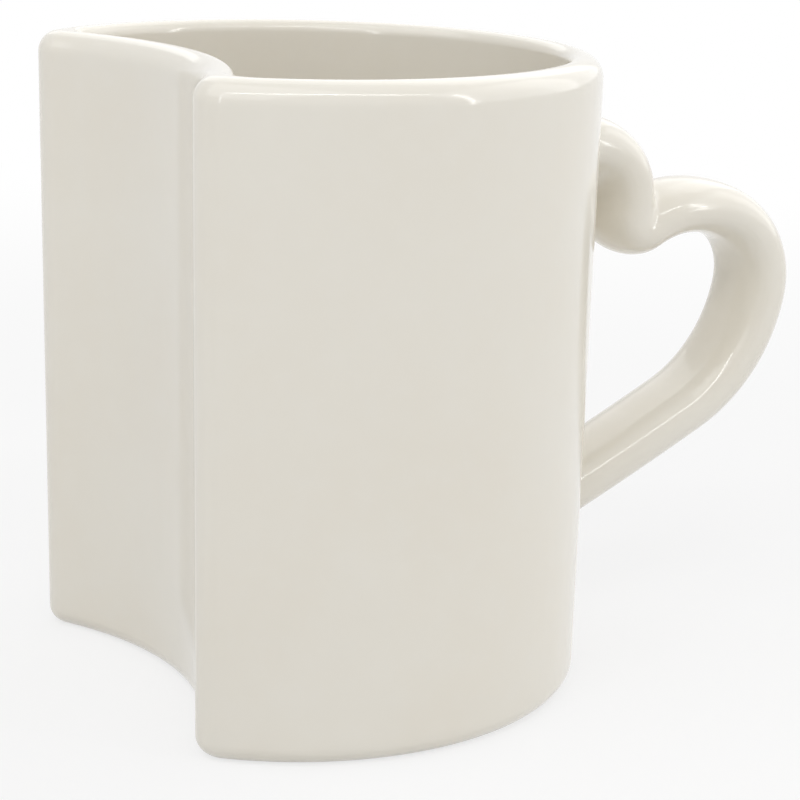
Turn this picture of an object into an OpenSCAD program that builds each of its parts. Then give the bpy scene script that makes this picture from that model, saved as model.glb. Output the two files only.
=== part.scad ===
// Nesting mug: a round straight-sided cup with a scoop down one side, so that the
// next mug can stand in it, and a heart-shaped handle opposite the scoop.
// The cup is one casting. The handle is cast by itself, its two ends are cut to the
// cup's wall, and each end is stuck on with a thin pad of slip.
// Millimetres. +Z is up, +X points to the handle and -X to the scoop. The origin is
// on the axis of the round wall, on the surface that the mug stands on.

/* [Cup] */
// Outer diameter of the round wall at the rim
cup_d = 89; // [80:0.5:100]
// Height from the foot to the top of the rim
cup_h = 96; // [90:0.5:115]
// Thickness of the wall
wall_t = 5.2; // [4.4:0.1:6]
// Thickness of the floor above the hollow under it
floor_t = 5; // [3.5:0.1:8]
// How far the wall draws in from the rim to the foot, for the mould
draft = 0.8; // [0:0.1:1.6]

/* [Scoop] */
// Radius of the scoop, a little wider than the cup that stands in it
scoop_r = 52; // [47:0.5:60]
// Distance from the cup's axis to the deepest line of the scoop
scoop_x = 21.5; // [18:0.5:26]
// Outside rounding of the two upright edges beside the scoop
horn_r = 5.4; // [4.6:0.1:8]
// Inside rounding of the same two corners
inner_horn_r = 4.4; // [4:0.1:6]

/* [Rim, heel and foot] */
// Rounding of the rim outside
rim_out_r = 2.1; // [1:0.1:2.4]
// Rounding of the rim inside
rim_in_r = 1.8; // [0.8:0.1:2]
// Rounding of the heel, where the wall meets the foot
heel_r = 2.8; // [1:0.1:3.4]
// Rounding between the floor and the wall inside
floor_r = 3; // [1:0.1:3.2]
// Width of the flat ring that the mug stands on
foot_w = 4; // [3:0.1:7]
// Depth of the hollow under the floor
foot_hollow = 1.6; // [0.6:0.1:3]
// Corner rounding of that hollow
foot_corner_r = 4; // [2:0.1:6]

/* [Handle] */
// Thickness of the handle in the plane of the heart
strap_t = 7.5; // [6.5:0.1:8.5]
// Width of the handle across the plane of the heart
strap_w = 14.8; // [12:0.1:18]
// Rounding of the handle's four long edges
strap_r = 3.2; // [2:0.1:3.2]
// Distance of the heart's cleft from the wall
cleft_out = 14.2; // [12.5:0.1:16]
// Depth of the heart's cleft below the rim
cleft_down = 26.6; // [24:0.1:32]
// Rounding in the bottom of the cleft's notch
notch_r = 0.4; // [0.3:0.1:1.5]
// Radius of the lobe beside the cup, on the centre line
near_lobe_r = 8.5; // [7.5:0.1:10]
// Direction from the cleft to that lobe's centre
near_lobe_dir = 165; // [160:0.5:172]
// Radius over the top of the far lobe, on the centre line
top_r = 17; // [15:0.1:20]
// Direction from the cleft to the centre of that curve
top_dir = -57.5; // [-62:0.5:-54]
// Radius round the side of the far lobe, on the centre line
side_r = 13.1; // [12:0.1:15]
// Direction, from its centre, in which the side curve starts
side_start = 76.5; // [72:0.5:84]
// Direction, from its centre, in which the side curve ends
side_end = -14.5; // [-22:0.5:-8]
// Radius of the long curve below it, on the centre line
lower_r = 28.6; // [26:0.1:34]
// Direction, from its centre, in which the long curve ends
lower_end = -63; // [-68:0.5:-58]
// Radius of the nearly straight run from there into the wall
tail_r = 600; // [200:10:900]

/* [Slip joints] */
// Thickness of the slip between the wall and each end of the handle
slip_t = 0.8; // [0.5:0.1:1.5]
// How far the slip shows round the handle's end
slip_lip = 0.8; // [0.4:0.1:1.4]

/* [Hidden] */
$fn = 96;

cup_r = cup_d / 2;
scoop_c = scoop_x + scoop_r;
lean = atan(draft / cup_h);
// Radius that a horn's wedge leaves round the horn's centre line
horn_core = 0.4;
// Room between that core and a rounding inside the horn
core_room = 0.2;
floor_fillet = min(floor_r, inner_horn_r - draft - horn_core - core_room);
heel_fillet = min(heel_r, horn_r - draft - horn_core - core_room);
// How far a shape that only cuts runs past what it cuts
over = 10;
glaze_colour = [0.87, 0.85, 0.81];
slip_colour = [0.84, 0.82, 0.77];

// Direction [x, z] of an angle in the heart's plane
function dir(a) = [cos(a), sin(a)];
// Draw-in of the wall at height z
function drawn_in(z) = draft * (1 - z / cup_h);

// A point or size with three decimals, so that pieces which meet there share it
function tidy(v) = [for (x = v) round(x * 1000) / 1000];
// Moves to a place in two steps, the tidy place and the small rest
module at(v) translate(tidy(v)) translate(v - tidy(v)) children();

// The plan outline is a round arc (radius r), a scoop arc (radius s, centred scoop_c
// away on -X) and two horn arcs (radius h) that touch both. These give the horn.
function horn_half(r, s, h) =
    acos((pow(r - h, 2) + pow(scoop_c, 2) - pow(s + h, 2)) / (2 * scoop_c * (r - h)));
function horn_centre(r, s, h) =
    tidy((r - h) * [-cos(horn_half(r, s, h)), sin(horn_half(r, s, h))]);

// What a rounding takes off a corner: the field between two directions, less its disc
module corner_cut(centre, r, from, to)
    difference() {
        polygon([centre, centre + 3 * r * dir(from),
                 centre + 3 * r * (dir(from) + dir(to)), centre + 3 * r * dir(to)]);
        at(centre) circle(r);
    }

// The wall's leaning line with all that lies inside it. In these profiles x runs
// inwards from the plan outline and y is the height.
module inside_of_line(depth)
    polygon([[draft, 0], [depth, 0], [depth, cup_h], [0, cup_h]]);

// Profile of the outside, with its rim and its heel rounded
module outside_profile(depth) {
    heel = [drawn_in(heel_fillet) + heel_fillet / cos(lean), heel_fillet];
    rim = [drawn_in(cup_h - rim_out_r) + rim_out_r / cos(lean), cup_h - rim_out_r];
    difference() {
        inside_of_line(depth);
        corner_cut(rim, rim_out_r, 90, 180 + lean);
        corner_cut(heel, heel_fillet, 180 + lean, 270);
    }
}

// Profile of the inside, with a rounding at the floor and a flare over the rim
module inside_profile(depth) {
    low = foot_hollow + floor_t;
    heel = [drawn_in(low + floor_fillet) + floor_fillet / cos(lean), low + floor_fillet];
    rim = [drawn_in(cup_h - rim_in_r) - rim_in_r / cos(lean), cup_h - rim_in_r];
    difference() {
        intersection() {
            inside_of_line(depth);
            translate([-over, low]) square([depth + over, cup_h]);
        }
        corner_cut(heel, floor_fillet, 180 + lean, 270);
    }
    corner_cut(rim, rim_in_r, lean, 90);
    translate([rim_in_r, cup_h - rim_in_r]) square([depth - rim_in_r, 2 * rim_in_r]);
}

// Profile of the hollow under the floor
module foot_profile(depth) translate([0, -over]) square([depth, foot_hollow + over]);

module profile(kind, depth) {
    if (kind == "outside") outside_profile(depth);
    if (kind == "inside") inside_profile(depth);
    if (kind == "foot") foot_profile(depth);
}

// Wedge beyond a horn's centre c, between the directions in which the horn touches
// the round wall and the scoop. It leaves the horn's core to the rest of the body.
module horn_wedge(c)
    difference() {
        translate([0, 0, -2 * over])
            linear_extrude(cup_h + 4 * over) polygon([c, 2 * c, [-scoop_c, 0]]);
        translate([c.x, c.y, -3 * over]) cylinder(h = cup_h + 6 * over, r = horn_core);
    }

// Solid that carries one profile all round the plan outline. Each arc turns the
// profile about its own centre, and the arcs meet on the planes through the centres.
module round_the_plan(kind, inset, horn) {
    r = cup_r - inset;
    c = horn_centre(r, scoop_r + inset, horn);
    h = r - norm(c);
    s = norm(c + [scoop_c, 0]) - h;

    difference() {
        intersection() {
            rotate_extrude()
                intersection() {
                    translate([r, 0]) mirror([1, 0]) profile(kind, cup_d);
                    translate([0, -2 * over]) square([cup_d, cup_h + 4 * over]);
                }
            translate([-scoop_c, 0, 0])
                rotate_extrude() at([s, 0]) profile(kind, cup_d + scoop_x);
        }
        for (side = [0, 1]) mirror([0, side, 0]) horn_wedge(c);
    }
    for (side = [0, 1])
        mirror([0, side, 0])
            intersection() {
                translate([c.x, c.y, 0])
                    rotate_extrude()
                        at([h, 0]) mirror([1, 0]) profile(kind, horn - horn_core / 2);
                horn_wedge(c);
            }
}

// The round wall's outer cone, grown by a gap, to cut what meets the wall
module wall_cone(gap)
    cylinder(h = cup_h, r1 = cup_r - draft + gap, r2 = cup_r + gap);

module cup()
    color(glaze_colour)
        difference() {
            round_the_plan("outside", 0, horn_r);
            round_the_plan("inside", wall_t, inner_horn_r);
            round_the_plan("foot", draft + heel_r + foot_w, foot_corner_r);
        }

// Centres of the heart's arcs, in the plane of the handle [x, z], as drawn from the
// sizes above. The last run into the wall is an arc too, a very flat one.
bend_r = strap_t / 2 + notch_r;
cleft = tidy([cup_r + cleft_out, cup_h - cleft_down]);
near_c = tidy(cleft + (bend_r + near_lobe_r) * dir(near_lobe_dir));
top_c = tidy(cleft + (bend_r + top_r) * dir(top_dir));
side_c = tidy(top_c + (top_r - side_r) * dir(side_start));
lower_c = tidy(side_c - (lower_r - side_r) * dir(side_end));
tail_steps = 20;
tail_step = tidy((tail_r - lower_r) / tail_steps * dir(lower_end));
tail_c = lower_c - tail_steps * tail_step;

// Radii that make each arc touch the next exactly, on the line through their centres
near_arc = near_lobe_r;
cleft_arc = norm(near_c - cleft) - near_arc;
top_arc = norm(top_c - cleft) - cleft_arc;
side_arc = top_arc - norm(side_c - top_c);
lower_arc = side_arc + norm(lower_c - side_c);
tail_arc = lower_arc + norm(tail_c - lower_c);

// Points past the strap on those lines, two strap thicknesses or more beyond each
// centre line, and the way along the last run
function past(r, step) = ceil((r + 2 * strap_t) / norm(step)) * step;
side_from = side_c + past(side_r, side_c - top_c);
side_to = side_c + past(side_r, side_c - lower_c);
lower_to = lower_c + past(lower_r, tail_step);
run = tidy(cup_r * dir(lower_end - 90));
// Height over the cleft that takes in the top of both lobes
above = 2 * top_r;

// Section of the strap, grown all round for the slip that it stands in
module strap_section(grow) {
    t = strap_t / 2 + grow;
    w = strap_w / 2 + grow;
    r = strap_r + grow;
    square([2 * t, 2 * (w - r)], center = true);
    square([2 * (t - r), 2 * w], center = true);
    for (sx = [-1, 1], sy = [-1, 1])
        translate([sx * (t - r), sy * (w - r)]) circle(r);
}

// One arc of the strap: the section turned about c, kept inside an outline [x, z]
module strap_arc(c, r, outline, grow = 0)
    intersection() {
        translate([c.x, 0, c.y])
            rotate([90, 0, 0])
                rotate_extrude($fn = r < 100 ? 96 : 900) at([r, 0]) strap_section(grow);
        rotate([90, 0, 0])
            linear_extrude(2 * strap_w, center = true) polygon(outline);
    }

// The strap's upper end, which runs on into the wall
module upper_end(grow = 0)
    strap_arc(near_c, near_arc, [near_c, cleft, cleft + [0, above],
        [0, cleft.y + above], [0, near_c.y]], grow);

// The strap's lower end, which runs on into the wall
module lower_end_run(grow = 0)
    strap_arc(tail_c, tail_arc, [lower_c, lower_to, lower_to + run, lower_c + run], grow);

module heart_strap() {
    upper_end();
    strap_arc(cleft, cleft_arc, [cleft, near_c, near_c + top_c - cleft, top_c]);
    strap_arc(top_c, top_arc, [top_c, side_from, cleft + [0, above], cleft]);
    strap_arc(side_c, side_arc, [side_c, side_from, side_from + side_to - side_c, side_to]);
    strap_arc(lower_c, lower_arc,
        [lower_c, side_to, side_to + lower_to - lower_c, lower_to]);
    lower_end_run();
}

module heart_handle()
    color(glaze_colour)
        difference() {
            heart_strap();
            wall_cone(slip_t);
        }

module upper_slip_joint()
    color(slip_colour)
        difference() {
            intersection() {
                upper_end(slip_lip);
                wall_cone(slip_t);
            }
            wall_cone(0);
        }

module lower_slip_joint()
    color(slip_colour)
        difference() {
            intersection() {
                lower_end_run(slip_lip);
                wall_cone(slip_t);
            }
            wall_cone(0);
        }

cup();
heart_handle();
upper_slip_joint();
lower_slip_joint();
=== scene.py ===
"""Looks of a nesting mug: ivory gloss glaze on a scooped cup with a heart-shaped handle."""
import math

import bpy
from mathutils import Matrix, Vector


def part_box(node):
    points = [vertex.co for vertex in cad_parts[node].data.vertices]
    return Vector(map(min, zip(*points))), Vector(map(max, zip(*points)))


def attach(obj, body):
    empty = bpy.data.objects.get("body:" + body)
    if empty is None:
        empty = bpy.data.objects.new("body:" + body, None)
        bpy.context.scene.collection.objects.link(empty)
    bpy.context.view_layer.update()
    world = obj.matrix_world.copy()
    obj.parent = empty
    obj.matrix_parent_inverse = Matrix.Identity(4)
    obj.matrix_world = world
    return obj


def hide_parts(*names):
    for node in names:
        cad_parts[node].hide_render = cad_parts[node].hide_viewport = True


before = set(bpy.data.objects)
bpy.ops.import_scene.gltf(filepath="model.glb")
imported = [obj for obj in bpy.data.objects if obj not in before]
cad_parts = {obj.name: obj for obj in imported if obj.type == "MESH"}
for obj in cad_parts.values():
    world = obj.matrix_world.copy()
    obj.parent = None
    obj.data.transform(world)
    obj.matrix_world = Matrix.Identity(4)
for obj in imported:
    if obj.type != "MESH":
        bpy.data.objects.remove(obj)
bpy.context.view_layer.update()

# Sizes of the cup in metres. They are the CAD part's, but for a fuller outer rounding of the
# rim and a small rounding on the inner edge of the foot
MM = 0.001
CUP_R = 44.5 * MM
CUP_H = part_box("cup")[1][2]
WALL_T = 5.2 * MM
FLOOR_Z = 6.6 * MM
DRAFT = 0.8 * MM
SLOPE = DRAFT / CUP_H
LEAN = math.atan(SLOPE)
SCOOP_R = 52 * MM
SCOOP_X = 21.5 * MM
SCOOP_C = SCOOP_X + SCOOP_R
HORN_R = 5.4 * MM
INNER_HORN_R = 4.4 * MM
RIM_OUT_R = 3.3 * MM
RIM_IN_R = 1.8 * MM
HEEL_R = 2.8 * MM
FLOOR_R = 3 * MM
FOOT_W = 4 * MM
FOOT_HOLLOW = 1.6 * MM
FOOT_CORNER_R = 4 * MM
FOOT_EDGE_R = 0.5 * MM

# The handle's strap, fuller than the CAD part's, and the slip that it stands in
STRAP_T = 9.0 * MM
STRAP_W = 15.8 * MM
OVAL = 0.53
OVAL_BEVEL = 0.4999
OVAL_WELD = 0.001
SLIP_T = 0.8 * MM
SLIP_FILLET = 0.9 * MM
SLIP_INSIDE = -0.1 * MM

# The heart in its plane: radii on the centre line, directions in degrees
CLEFT = Vector((CUP_R + 14.2 * MM, 67.9 * MM))
BEND_R = 2.4 * MM
INTO_WALL = 48
NEAR_R = 8.8 * MM
NEAR_DIR = 163.7
TOP_R = 18.2 * MM
TOP_DIR = -58.7
SIDE_R = 12.3 * MM
SIDE_START = 66.5
SIDE_END = -9.7
LOWER_R = 26.7 * MM
LOWER_END = -62.2
TAIL_R = 600 * MM

# How the strap becomes one casting and how far its cleft is softened
CAST_GRAIN = 0.35 * MM
CAST_PASSES = 6
CLEFT_SOFT = 6.5 * MM
CLEFT_PASSES = 100
SOFTEN_FACTOR = 0.5

# How finely the round stretches are stepped
ROUND_STEPS = 76
HORN_STEPS = 18
SCOOP_STEPS = 56
CORNER_STEPS = 10
FOOT_EDGE_STEPS = 4
WALL_STEPS = 12
OVAL_STEPS = 12
INTO_WALL_STEPS = 12
NEAR_STEPS = 30
BEND_STEPS = 28
TOP_STEPS = 28
SIDE_STEPS = 36
LOWER_STEPS = 36
TAIL_STEPS = 24
SLIP_STEPS = 8
SEAT_PASSES = 20
SEAT_LIMIT = 0.99
SUPPORT = 0.7 * MM
CONE_SIDES = 720
CONE_OVER = 10 * MM

# Points this close are one point, or lie in one plane
WELD = 0.004 * MM
SAME_PLANE = 0.001 * MM

# Faces that meet at more than this many degrees keep a hard edge
SHARP = 45

UP = (0, 0, 1)
ACROSS = (0, -1, 0)

# Colours
IVORY = (0.820, 0.786, 0.706, 1)
IVORY_WARM = (0.812, 0.771, 0.684, 1)
IVORY_THIN = (0.830, 0.800, 0.728, 1)
POOLED = (0.775, 0.733, 0.636, 1)
SPECK = (0.300, 0.240, 0.180, 1)
BISQUE = (0.700, 0.640, 0.550, 1)
FLOOR_WHITE = (0.80, 0.80, 0.80, 1)
WHITE = (1, 1, 1, 1)

# The glaze: sizes of its clouds, specks and ripple, how much each shows, and its gloss
CLOUD_DETAIL = 2.0
CLOUD_ROUGH = 0.5
TONE_SIZE = 26 * MM
TONE_RISE = (0.3, 0.7)
FINE_SIZE = 4 * MM
FINE_DETAIL = 4.0
FINE_RISE = (0.35, 0.8)
FINE_SHARE = 0.35
POOL_SHARE = 0.4
SPECK_SPACING = 9 * MM
SPECK_R = 0.11 * MM
SPECK_CORE = 0.6
SPECK_FEW = (0.86, 0.9)
SPECK_SHARE = 0.6
ROUGH_LEAST = 0.07
ROUGH_TONE = 0.06
ROUGH_FINE = 0.04
COAT_LEAST = 0.1
COAT_FINE = 0.15
COAT_ROUGH = 0.05
GLAZE_IOR = 1.5
BARE_RISE = (0.25 * MM, 0.6 * MM)
BARE_ROUGH = 0.55
GRAIN_SIZE = 0.8 * MM
GRAIN_DETAIL = 6.0
GRAIN_ROUGH = 0.2
RIPPLE_SIZE = 11 * MM
RIPPLE_SHARE = 0.7
DIMPLE_SIZE = 2.2 * MM
DIMPLE_SHARE = 0.3
RIPPLE_STRENGTH = 0.25
RIPPLE_DEPTH = 0.05 * MM

# Floor, light and camera. A lamp has a place, a size and a power
FLOOR_SIZE = 12
FLOOR_ROUGH = 0.9
FLOOR_GLOW = 0.72
FLOOR_NEAR = 0.16
FLOOR_FAR = 0.5
WORLD_LIGHT = 0.33
LAMP_AIM = Vector((15 * MM, 0, 50 * MM))
LAMPS = {
    "left_high": ((-0.52, -0.15, 0.80), (1.2, 1.0), 4.15),
    "front_bar": ((-0.12, -0.50, 0.74), (1.0, 0.04), 1.3),
    "right": ((0.80, -0.31, 0.50), (1.2, 0.8), 2.7),
    "right_back": ((0.81, 0.25, 0.60), (1.0, 1.0), 1.4),
    "back_high": ((0.33, 0.62, 0.75), (1.0, 1.0), 2.1),
    "left_post": ((-0.61, -0.35, 0.30), (0.03, 0.5), 0.3),
    "right_post": ((0.43, -0.55, 0.30), (0.03, 0.5), 0.4),
}
CAMERA_AZIMUTH = -28.25
CAMERA_ELEVATION = 14.5
CAMERA_ROLL = 1.53
CAMERA_DISTANCE = 368.07 * MM
CAMERA_TARGET = (17.69 * MM, -0.26 * MM, 40.28 * MM)
CAMERA_LENS = 105.42
CAMERA_SENSOR = 36
CAMERA_CLIP = (0.01, 50)


def heading(degrees):
    """Direction of an angle in the plane of a profile or of the heart."""
    return Vector((math.cos(math.radians(degrees)), math.sin(math.radians(degrees))))


def drawn_in(z):
    """How far the wall has drawn in at height z, from the rim to the foot."""
    return DRAFT * (1 - z / CUP_H)


# Modelling steps, as by hand in edit mode

def start_outline(x, z):
    """A new object in edit mode that holds one point, on the plane y = 0."""
    bpy.ops.object.select_all(action="DESELECT")
    bpy.ops.mesh.primitive_circle_add(vertices=3, radius=MM, enter_editmode=True)
    bpy.ops.mesh.merge(type="CENTER")
    bpy.ops.transform.translate(value=(x, 0, z))


def go_by(x, z):
    """Draws a straight stretch on from what is selected."""
    bpy.ops.mesh.extrude_region_move(TRANSFORM_OT_translate={"value": (x, 0, z)})


def turn_by(degrees, centre, axis, steps):
    """Carries what is selected round a centre, as a skin or a drawn arc.

    Spin turns against the right-hand rule, so the angle changes its sign here."""
    bpy.ops.mesh.spin(steps=steps, angle=-math.radians(degrees), center=centre, axis=axis)


def select_where(wanted):
    """Selects the points, and the edges and faces between them, that a test holds for."""
    bpy.ops.mesh.select_all(action="DESELECT")
    bpy.ops.object.mode_set(mode="OBJECT")
    mesh = bpy.context.object.data
    for point in mesh.vertices:
        point.select = wanted(point.co)
    for edge in mesh.edges:
        edge.select = all(mesh.vertices[i].select for i in edge.vertices)
    for face in mesh.polygons:
        face.select = all(mesh.vertices[i].select for i in face.vertices)
    bpy.ops.object.mode_set(mode="EDIT")


def finish_piece(name):
    """Leaves edit mode with the skin welded, facing outward and smooth, and names it."""
    bpy.ops.mesh.select_all(action="SELECT")
    bpy.ops.mesh.remove_doubles(threshold=WELD)
    bpy.ops.mesh.normals_make_consistent(inside=False)
    bpy.ops.object.mode_set(mode="OBJECT")
    bpy.ops.object.transform_apply(location=True, rotation=True, scale=True)
    bpy.ops.object.shade_smooth_by_angle(angle=math.radians(SHARP))
    piece = bpy.context.object
    piece.name = name
    piece.data.name = name
    return piece


# The cup

def carry_round_the_plan(inset, horn):
    """Carries the selected outline, on the +X side, round the scooped plan."""
    r = CUP_R - inset
    s = SCOOP_R + inset
    reach = r - horn
    half = math.acos((reach**2 + SCOOP_C**2 - (s + horn) ** 2) / (2 * SCOOP_C * reach))
    c = reach * Vector((-math.cos(half), math.sin(half)))
    round_turn = 180 - math.degrees(half)
    spread = math.degrees(math.atan2(c.y, c.x + SCOOP_C))
    horn_turn = 180 + spread - round_turn
    turn_by(round_turn, (0, 0, 0), UP, ROUND_STEPS)
    turn_by(horn_turn, (c.x, c.y, 0), UP, HORN_STEPS)
    turn_by(-2 * spread, (-SCOOP_C, 0, 0), UP, SCOOP_STEPS)
    turn_by(horn_turn, (c.x, -c.y, 0), UP, HORN_STEPS)
    turn_by(round_turn, (0, 0, 0), UP, ROUND_STEPS)


def draw_wall(from_z, to_z):
    """Draws the leaning wall line, with a short stretch next to each rounding."""
    whole = to_z - from_z
    support = math.copysign(SUPPORT, whole)
    step = (whole - 2 * support) / WALL_STEPS
    for rise in [support] + [step] * WALL_STEPS + [support]:
        go_by(SLOPE * rise, rise)


def outer_skin():
    """Outside of the cup: heel, leaning wall and the outer half of the rim."""
    heel_z = HEEL_R
    heel_x = CUP_R - drawn_in(heel_z) - HEEL_R / math.cos(LEAN)
    rim_z = CUP_H - RIM_OUT_R
    rim_x = CUP_R - drawn_in(rim_z) - RIM_OUT_R / math.cos(LEAN)
    lean = math.degrees(LEAN)
    start_outline(heel_x, 0)
    turn_by(90 - lean, (heel_x, 0, heel_z), ACROSS, CORNER_STEPS)
    rise = math.sin(LEAN)
    draw_wall(heel_z - HEEL_R * rise, rim_z - RIM_OUT_R * rise)
    turn_by(90 + lean, (rim_x, 0, rim_z), ACROSS, CORNER_STEPS)
    bpy.ops.mesh.select_all(action="SELECT")
    carry_round_the_plan(0, HORN_R)
    return finish_piece("outer_skin")


def inner_skin():
    """Inside of the cup: inner half of the rim, leaning wall and floor rounding."""
    inner_r = CUP_R - WALL_T
    rim_z = CUP_H - RIM_IN_R
    rim_x = inner_r - drawn_in(rim_z) + RIM_IN_R / math.cos(LEAN)
    low_z = FLOOR_Z + FLOOR_R
    low_x = inner_r - drawn_in(low_z) - FLOOR_R / math.cos(LEAN)
    lean = math.degrees(LEAN)
    start_outline(rim_x, CUP_H)
    turn_by(90 + lean, (rim_x, 0, rim_z), ACROSS, CORNER_STEPS)
    rise = math.sin(LEAN)
    draw_wall(rim_z + RIM_IN_R * rise, low_z - FLOOR_R * rise)
    turn_by(lean - 90, (low_x, 0, low_z), ACROSS, CORNER_STEPS)
    bpy.ops.mesh.select_all(action="SELECT")
    carry_round_the_plan(WALL_T, INNER_HORN_R)
    return finish_piece("inner_skin")


def foot_skin():
    """Side of the hollow under the floor, with the ring's inner edge rounded."""
    inset = DRAFT + HEEL_R + FOOT_W
    edge_x = CUP_R - inset + FOOT_EDGE_R
    start_outline(edge_x, 0)
    turn_by(90, (edge_x, 0, FOOT_EDGE_R), ACROSS, FOOT_EDGE_STEPS)
    go_by(0, FOOT_HOLLOW - FOOT_EDGE_R)
    bpy.ops.mesh.select_all(action="SELECT")
    carry_round_the_plan(inset, FOOT_CORNER_R)
    return finish_piece("foot_skin")


def make_cup():
    """The casting: its skins joined, with the rim's top, foot ring and floors filled in."""
    skins = [outer_skin(), inner_skin(), foot_skin()]
    bpy.ops.object.select_all(action="DESELECT")
    for skin in skins:
        skin.select_set(True)
    bpy.context.view_layer.objects.active = skins[0]
    bpy.ops.object.join()
    bpy.ops.object.mode_set(mode="EDIT")
    for ring_z in (CUP_H, 0):
        select_where(lambda co: abs(co.z - ring_z) < SAME_PLANE)
        bpy.ops.mesh.fill()
    for floor_z in (FLOOR_Z, FOOT_HOLLOW):
        select_where(lambda co: abs(co.z - floor_z) < SAME_PLANE)
        bpy.ops.mesh.edge_face_add()
        bpy.ops.mesh.inset(thickness=SUPPORT / 2)
    return finish_piece("cup_body")


# The handle

def heart_centres():
    """Centres of the heart's arcs, from the lobe beside the cup to the lower end."""
    near = CLEFT + (BEND_R + NEAR_R) * heading(NEAR_DIR)
    top = CLEFT + (BEND_R + TOP_R) * heading(TOP_DIR)
    side = top + (TOP_R - SIDE_R) * heading(SIDE_START)
    lower = side - (LOWER_R - SIDE_R) * heading(SIDE_END)
    tail = lower - (TAIL_R - LOWER_R) * heading(LOWER_END)
    return near, top, side, lower, tail


def strap_outline():
    """The strap's oval section as a face across the X axis, in edit mode.

    A square that is bevelled to its middles is an oval, a little fuller than an
    ellipse, once it is drawn out to the strap's thickness and width."""
    bpy.ops.object.select_all(action="DESELECT")
    bpy.ops.mesh.primitive_plane_add(size=1, enter_editmode=True)
    bpy.ops.mesh.bevel(
        affect="VERTICES", offset=OVAL_BEVEL, segments=OVAL_STEPS, profile=OVAL
    )
    bpy.ops.mesh.select_all(action="SELECT")
    bpy.ops.mesh.remove_doubles(threshold=OVAL_WELD)
    bpy.ops.transform.resize(value=(STRAP_T, STRAP_W, 1))
    bpy.ops.transform.rotate(value=math.pi / 2, orient_axis="Y", center_override=(0, 0, 0))


def start_strap(centre, radius):
    """The open section on the top of an arc, selected."""
    strap_outline()
    bpy.ops.transform.translate(value=(centre.x, 0, centre.y + radius))
    bpy.ops.mesh.delete(type="ONLY_FACE")
    bpy.ops.mesh.select_all(action="SELECT")


def carry(moves):
    """Carries the selected section round one arc after the other and closes its end."""
    for centre, degrees, steps in moves:
        turn_by(degrees, (centre.x, 0, centre.y), ACROSS, steps)
    bpy.ops.mesh.edge_face_add()


def cast_whole(piece):
    """Makes the strap one skin where it runs into itself, as a mould does."""
    step = piece.modifiers.new("cast", "REMESH")
    step.mode = "VOXEL"
    step.voxel_size = CAST_GRAIN
    bpy.ops.object.modifier_apply(modifier=step.name)


def soften(piece, passes, reach=None):
    """Smooths a piece, all over or with a fall-off round the cleft."""
    step = piece.modifiers.new("soften", "SMOOTH")
    step.factor = SOFTEN_FACTOR
    step.iterations = passes
    if reach:
        group = piece.vertex_groups.new(name="cleft")
        for point in piece.data.vertices:
            away = (Vector((point.co.x, point.co.z)) - CLEFT).length
            group.add([point.index], max(0, 1 - away / reach), "REPLACE")
        step.vertex_group = group.name
    bpy.ops.object.modifier_apply(modifier=step.name)
    piece.vertex_groups.clear()


def wall_cone(gap):
    """The cup's leaning round wall as a solid, grown by a gap."""
    bpy.ops.object.select_all(action="DESELECT")
    bpy.ops.mesh.primitive_cone_add(
        vertices=CONE_SIDES,
        radius1=CUP_R - DRAFT + gap - SLOPE * CONE_OVER,
        radius2=CUP_R + gap + SLOPE * CONE_OVER,
        depth=CUP_H + 2 * CONE_OVER,
        location=(0, 0, CUP_H / 2),
    )
    return bpy.context.object


def cut_away(piece, other):
    """Cuts another solid out of a piece, and uses it up."""
    bpy.ops.object.select_all(action="DESELECT")
    piece.select_set(True)
    bpy.context.view_layer.objects.active = piece
    step = piece.modifiers.new("cut", "BOOLEAN")
    step.object = other
    step.operation = "DIFFERENCE"
    step.solver = "MANIFOLD"
    bpy.ops.object.modifier_apply(modifier=step.name)
    bpy.data.objects.remove(other)
    bpy.ops.object.mode_set(mode="EDIT")
    finish_piece(piece.name)


def make_handle():
    """A strap swept along the heart both ways from the lobe beside the cup, cast whole,
    with its ends cut to the slip on the wall."""
    near, top, side, lower, tail = heart_centres()
    end = lower + LOWER_R * heading(LOWER_END)
    run = math.degrees((end.x - CUP_R + WALL_T) / TAIL_R)
    start_strap(near, NEAR_R)
    carry([(near, INTO_WALL, INTO_WALL_STEPS)])
    select_where(lambda co: abs(co.x - near.x) < SAME_PLANE)
    carry([
        (near, NEAR_DIR - 270, NEAR_STEPS),
        (CLEFT, TOP_DIR + 360 - NEAR_DIR, BEND_STEPS),
        (top, SIDE_START - TOP_DIR - 180, TOP_STEPS),
        (side, SIDE_END - SIDE_START, SIDE_STEPS),
        (lower, LOWER_END - SIDE_END, LOWER_STEPS),
        (tail, -run, TAIL_STEPS),
    ])
    handle = finish_piece("heart_strap")
    cast_whole(handle)
    soften(handle, CAST_PASSES)
    soften(handle, CLEFT_PASSES, CLEFT_SOFT)
    cut_away(handle, wall_cone(SLIP_T))
    return handle


# The slip that the handle stands in

def seat_on_wall(piece, rings, centre, radius, side):
    """Moves each ring of a drawn plug to where the strap, grown by so much, meets the
    cup's wall, grown by so much. The strap there is an arc round a centre."""
    for point in piece.data.vertices:
        out, grow = rings[round(point.co.x / SUPPORT)]
        across = point.co.y / (STRAP_W / 2)
        thick = point.co.z / (STRAP_T / 2)
        y = (STRAP_W / 2 + grow) * across
        arc = radius + (STRAP_T / 2 + grow) * thick
        z = centre.y + side * arc
        for _ in range(SEAT_PASSES):
            x = math.sqrt((CUP_R - drawn_in(z)) ** 2 - y**2) + out
            along = min(abs(x - centre.x) / arc, SEAT_LIMIT)
            z = centre.y + side * arc * math.sqrt(1 - along**2)
        point.co = (x, y, z)


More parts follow.
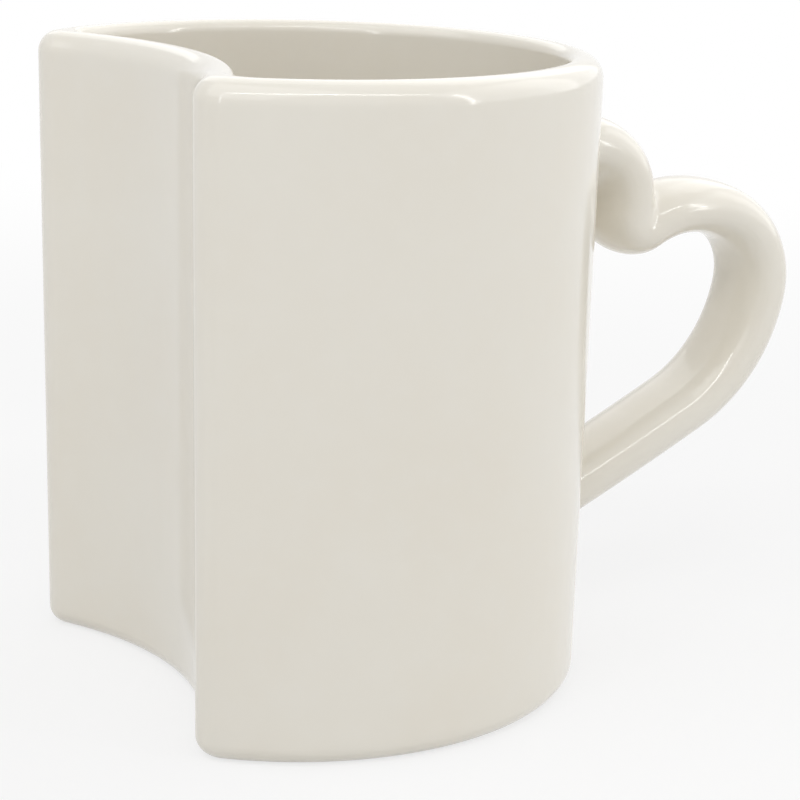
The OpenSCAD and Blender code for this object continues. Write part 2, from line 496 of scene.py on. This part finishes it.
def make_slip_joint(name, centre, radius, side):
    """A plug of slip with a small hollow fillet from the wall to the strap's end."""
    rings = [(SLIP_FILLET + SLIP_T / 2, SLIP_INSIDE), (SLIP_FILLET, SLIP_INSIDE / 10)]
    for step in range(1, SLIP_STEPS + 1):
        turn = math.pi / 2 * step / SLIP_STEPS
        rings.append((SLIP_FILLET * (1 - math.sin(turn)), SLIP_FILLET * (1 - math.cos(turn))))
    rings.append((-SLIP_T / 2, SLIP_FILLET))
    strap_outline()
    for _ in rings[1:]:
        go_by(SUPPORT, 0)
    piece = finish_piece(name)
    seat_on_wall(piece, rings, centre, radius, side)
    bpy.ops.object.mode_set(mode="EDIT")
    return finish_piece(name)


# Materials

class Value:
    """A number that varies over a surface. Arithmetic on it adds Math nodes."""

    def __init__(self, paint, socket):
        self.paint = paint
        self.socket = socket

    def _math(self, operation, *terms):
        node = self.paint.node("ShaderNodeMath", {"operation": operation}, dict(enumerate(terms)))
        return Value(self.paint, node.outputs[0])

    def __add__(self, other):
        return self._math("ADD", self, other)

    __radd__ = __add__

    def __sub__(self, other):
        return self._math("SUBTRACT", self, other)

    def __rsub__(self, other):
        return self._math("SUBTRACT", other, self)

    def __mul__(self, other):
        return self._math("MULTIPLY", self, other)

    __rmul__ = __mul__

    def most(self, other):
        """The larger of two values."""
        return self._math("MAXIMUM", self, other)

    def between(self, low, high):
        """0 below low, 1 above high and a smooth rise between them."""
        node = self.paint.node(
            "ShaderNodeMapRange",
            {"interpolation_type": "SMOOTHSTEP"},
            {"Value": self, "From Min": low, "From Max": high},
        )
        return Value(self.paint, node.outputs[0])


class Paint:
    """A material under way, with its shader and its place on the object."""

    def __init__(self, name):
        self.material = bpy.data.materials.new(name)
        self.material.use_nodes = True
        self.nodes = self.material.node_tree.nodes
        self.links = self.material.node_tree.links
        self.nodes.clear()
        self.shader = self.node("ShaderNodeBsdfPrincipled")
        self.output = self.node("ShaderNodeOutputMaterial", {}, {"Surface": self.shader.outputs[0]})
        self.place = self.node("ShaderNodeTexCoord").outputs["Object"]

    def node(self, kind, settings=None, inputs=None):
        """Adds a node: its settings first, then a value or a link for each socket."""
        made = self.nodes.new(kind)
        for key, setting in (settings or {}).items():
            setattr(made, key, setting)
        for key, source in (inputs or {}).items():
            self.feed(made.inputs[key], source)
        return made

    def feed(self, socket, source):
        """Links a varying value into a socket, or sets a plain one on it."""
        if isinstance(source, Value):
            source = source.socket
        if isinstance(source, bpy.types.NodeSocket):
            self.links.new(source, socket)
        else:
            socket.default_value = source

    def dress(self, inputs):
        """Feeds sockets of the shader by their names."""
        for key, source in inputs.items():
            self.feed(self.shader.inputs[key], source)

    def height(self):
        """Height over the table."""
        node = self.node("ShaderNodeSeparateXYZ", {}, {0: self.place})
        return Value(self, node.outputs["Z"])

    def clouds(self, size, detail=CLOUD_DETAIL):
        """Soft noise from 0 to 1 with blots of about a size."""
        node = self.node(
            "ShaderNodeTexNoise",
            {},
            {"Vector": self.place, "Scale": 1 / size, "Detail": detail, "Roughness": CLOUD_ROUGH},
        )
        return Value(self, node.outputs["Fac"])

    def specks(self, spacing, radius):
        """1 inside small round specks, a few of them, and 0 elsewhere."""
        node = self.node(
            "ShaderNodeTexVoronoi", {}, {"Vector": self.place, "Scale": 1 / spacing}
        )
        near = Value(self, node.outputs["Distance"])
        few = self.node("ShaderNodeSeparateColor", {}, {0: node.outputs["Color"]})
        chosen = Value(self, few.outputs[0]).between(*SPECK_FEW)
        edge = radius / spacing
        return (1 - near.between(SPECK_CORE * edge, edge)) * chosen

    def blend(self, factor, first, second):
        """A colour between two, by a varying factor. A Mix node's sockets for colours are
        known by number, because other kinds share their names."""
        node = self.node(
            "ShaderNodeMix",
            {"data_type": "RGBA"},
            {0: factor, 6: first, 7: second},
        )
        return node.outputs[2]


def glaze(name, pooled=0.0, foot=False):
    """Ivory gloss glaze: soft clouds of tone, a few tiny specks and a faint ripple.

    It is darker where it has pooled, and a foot is bare on what it stands on."""
    paint = Paint(name)
    tone = paint.clouds(TONE_SIZE)
    colour = paint.blend(tone.between(*TONE_RISE), IVORY, IVORY_WARM)
    fine = paint.clouds(FINE_SIZE, FINE_DETAIL)
    colour = paint.blend(fine.between(*FINE_RISE) * FINE_SHARE, colour, IVORY_THIN)
    if pooled:
        colour = paint.blend(fine * POOL_SHARE + pooled, colour, POOLED)
    specks = paint.specks(SPECK_SPACING, SPECK_R)
    colour = paint.blend(specks * SPECK_SHARE, colour, SPECK)
    rough = ROUGH_LEAST + ROUGH_TONE * tone + ROUGH_FINE * fine
    coat = COAT_LEAST + COAT_FINE * fine
    if foot:
        bare = 1 - paint.height().between(*BARE_RISE)
        grain = paint.clouds(GRAIN_SIZE, GRAIN_DETAIL)
        colour = paint.blend(bare, colour, BISQUE)
        rough = rough + bare * (BARE_ROUGH + GRAIN_ROUGH * grain)
        coat = coat * (1 - bare)
    ripple = paint.clouds(RIPPLE_SIZE) * RIPPLE_SHARE + paint.clouds(DIMPLE_SIZE) * DIMPLE_SHARE
    bump = paint.node(
        "ShaderNodeBump",
        {},
        {"Strength": RIPPLE_STRENGTH, "Distance": RIPPLE_DEPTH, "Height": ripple},
    )
    paint.dress({
        "Base Color": colour,
        "Roughness": rough,
        "Coat Weight": coat,
        "Normal": bump.outputs[0],
        "IOR": GLAZE_IOR,
        "Coat Roughness": COAT_ROUGH,
        "Coat IOR": GLAZE_IOR,
    })
    return paint.material


def put_on(piece, material, node):
    """Dresses a piece, which stands for a CAD part and rides on the mug's one body."""
    piece.data.materials.clear()
    piece.data.materials.append(material)
    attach(piece, "root")
    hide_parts(node)


# Floor, light and camera

def make_floor():
    """A pale floor that the camera sees as white, with the mug's shadow on it."""
    bpy.ops.object.select_all(action="DESELECT")
    bpy.ops.mesh.primitive_plane_add(size=FLOOR_SIZE)
    floor = bpy.context.object
    floor.name = "floor"
    paint = Paint("pale_floor")
    paint.dress({
        "Base Color": FLOOR_WHITE,
        "Roughness": FLOOR_ROUGH,
        "Specular IOR Level": 0.0,
    })
    path = paint.node("ShaderNodeLightPath")
    camera, glossy, through = (
        Value(paint, path.outputs[f"Is {kind} Ray"]) for kind in ("Camera", "Glossy", "Transmission")
    )
    watched = camera.most(glossy).most(through)
    away = paint.node("ShaderNodeVectorMath", {"operation": "LENGTH"}, {0: paint.place})
    far = Value(paint, away.outputs["Value"]).between(FLOOR_NEAR, FLOOR_FAR)
    glow = paint.node("ShaderNodeEmission", {}, {"Color": WHITE, "Strength": 1.0})
    share = watched * (far * (1 - FLOOR_GLOW) + FLOOR_GLOW)
    mixed = paint.node(
        "ShaderNodeMixShader",
        {},
        {0: share, 1: paint.shader.outputs[0], 2: glow.outputs[0]},
    )
    paint.feed(paint.output.inputs["Surface"], mixed.outputs[0])
    floor.data.materials.append(paint.material)


def make_world():
    """Even white light all round, which gloss and the camera see as a white room."""
    world = bpy.data.worlds.new("studio")
    bpy.context.scene.world = world
    world.use_nodes = True
    nodes = world.node_tree.nodes
    links = world.node_tree.links
    light = nodes["Background"]
    light.inputs["Color"].default_value = WHITE
    light.inputs["Strength"].default_value = WORLD_LIGHT
    room = nodes.new("ShaderNodeBackground")
    room.inputs["Color"].default_value = WHITE
    room.inputs["Strength"].default_value = 1.0
    path = nodes.new("ShaderNodeLightPath")
    lit = nodes.new("ShaderNodeMixShader")
    links.new(path.outputs["Is Diffuse Ray"], lit.inputs[0])
    links.new(room.outputs[0], lit.inputs[1])
    links.new(light.outputs[0], lit.inputs[2])
    links.new(lit.outputs[0], nodes["World Output"].inputs["Surface"])


def softbox(name, place, size, power):
    """A rectangular soft lamp at a place, facing the mug."""
    lamp = bpy.data.lights.new(name, "AREA")
    lamp.shape = "RECTANGLE"
    lamp.size, lamp.size_y = size
    lamp.energy = power
    holder = bpy.data.objects.new(name, lamp)
    holder.location = place
    holder.rotation_euler = (LAMP_AIM - Vector(place)).to_track_quat("-Z", "Y").to_euler()
    bpy.context.scene.collection.objects.link(holder)


def make_camera():
    """The photograph's view: turned to the scoop's side and a little from above."""
    turn = math.radians(CAMERA_AZIMUTH)
    tilt = math.radians(CAMERA_ELEVATION)
    roll = math.radians(CAMERA_ROLL)
    flat = math.cos(tilt)
    back = Vector((math.sin(turn) * flat, -math.cos(turn) * flat, math.sin(tilt)))
    level = Vector((math.cos(turn), math.sin(turn), 0))
    upright = back.cross(level)
    right = level * math.cos(roll) + upright * math.sin(roll)
    above = upright * math.cos(roll) - level * math.sin(roll)
    lens = bpy.data.cameras.new("camera")
    lens.sensor_width = CAMERA_SENSOR
    lens.sensor_fit = "HORIZONTAL"
    lens.lens = CAMERA_LENS
    lens.clip_start, lens.clip_end = CAMERA_CLIP
    camera = bpy.data.objects.new("camera", lens)
    pose = Matrix((right, above, back)).transposed().to_4x4()
    pose.translation = Vector(CAMERA_TARGET) + back * CAMERA_DISTANCE
    camera.matrix_world = pose
    bpy.context.scene.collection.objects.link(camera)
    bpy.context.scene.camera = camera


cup = make_cup()
handle = make_handle()
upper_slip = make_slip_joint("upper_slip_fillet", heart_centres()[0], NEAR_R, 1)
lower_slip = make_slip_joint("lower_slip_fillet", heart_centres()[-1], TAIL_R, -1)

put_on(cup, glaze("cup_glaze", foot=True), "cup")
put_on(handle, glaze("handle_glaze"), "heart_handle")
slip_glaze = glaze("slip_glaze", pooled=0.1)
put_on(upper_slip, slip_glaze, "upper_slip_joint")
put_on(lower_slip, slip_glaze, "lower_slip_joint")

make_floor()
make_world()
for name, (place, size, power) in LAMPS.items():
    softbox(name, place, size, power)
make_camera()
bpy.context.scene.view_settings.view_transform = "Standard"
